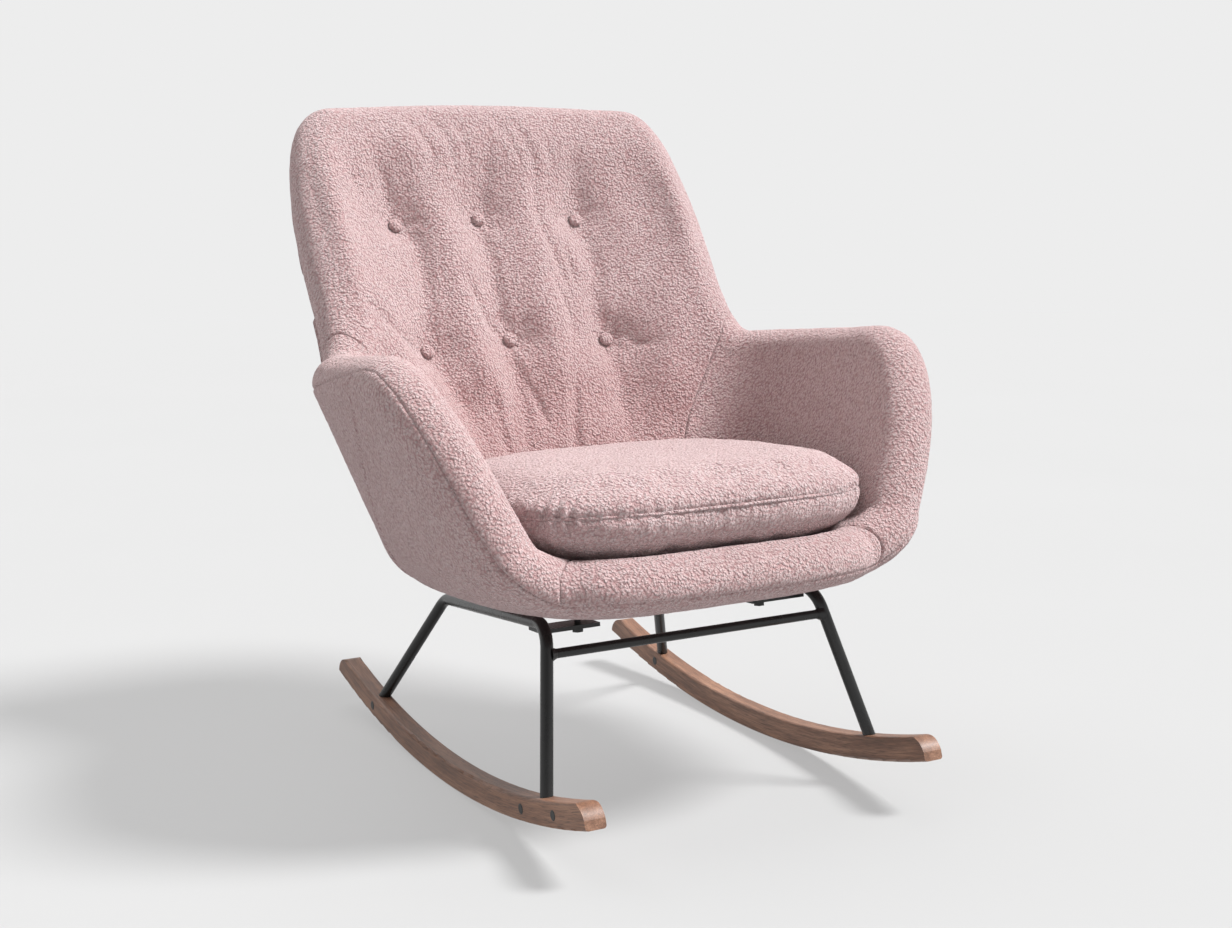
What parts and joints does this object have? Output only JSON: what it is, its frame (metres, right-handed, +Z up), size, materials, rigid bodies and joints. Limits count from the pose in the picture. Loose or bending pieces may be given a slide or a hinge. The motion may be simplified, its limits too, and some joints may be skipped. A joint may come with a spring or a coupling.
{
  "type": "rocking nursery chair",
  "caption": "Upholstered rocking chair: a tufted bucket seat with a loose cushion on bent steel hoops that stand in curved wooden runners.",
  "frame": {"origin": "on the floor, under the middle of the chair's bounding box", "axes": "the chair faces -Y, +X is the sitter's left, +Z is up"},
  "size_m": [0.792, 0.8654, 0.9019],
  "materials": {
    "walnut": "satin",
    "black_steel": "satin",
    "black_cap": "matte",
    "plain_steel": "satin",
    "plywood": "matte",
    "boucle": "matte",
    "foam": "matte",
    "twine": "matte"
  },
  "bodies": {
    "chair": {"runner_left": "walnut", "runner_right": "walnut", "runner_bolts": "plain_steel", "runner_bolt_nuts": "plain_steel", "clamp_screws": "plain_steel", "screw_caps": "black_cap", "side_frame_left": "black_steel", "side_frame_right": "black_steel", "front_cross_bar": "black_steel", "cross_bar_welds": "black_steel", "leg_spigots": "plain_steel", "mounting_lugs": "black_steel", "seat_bolts": "plain_steel", "seat_washers": "plain_steel", "tee_nuts": "plain_steel", "base_board": "plywood", "cross_battens": "plywood", "batten_screws": "plain_steel", "shell_core": "plywood", "bottom_cover": "boucle", "outer_back": "boucle", "outer_side_left": "boucle", "outer_side_right": "boucle", "outer_front": "boucle", "seat_deck": "boucle", "front_roll": "boucle", "inner_back": "boucle", "inner_arm_left": "boucle", "inner_arm_right": "boucle", "tufting_buttons": "boucle", "button_twines": "twine", "button_anchors": "plain_steel"},
    "seat_cushion": {"cushion_cover_top": "boucle", "cushion_cover_bottom": "boucle", "cushion_foam": "foam", "cushion_welt": "boucle"}
  },
  "joints": [
    {"name": "seat_cushion_lift", "type": "slide", "parent": "chair", "child": "seat_cushion", "axis": [0, 0, 1], "range_m": [0, 0.3]}
  ]
}
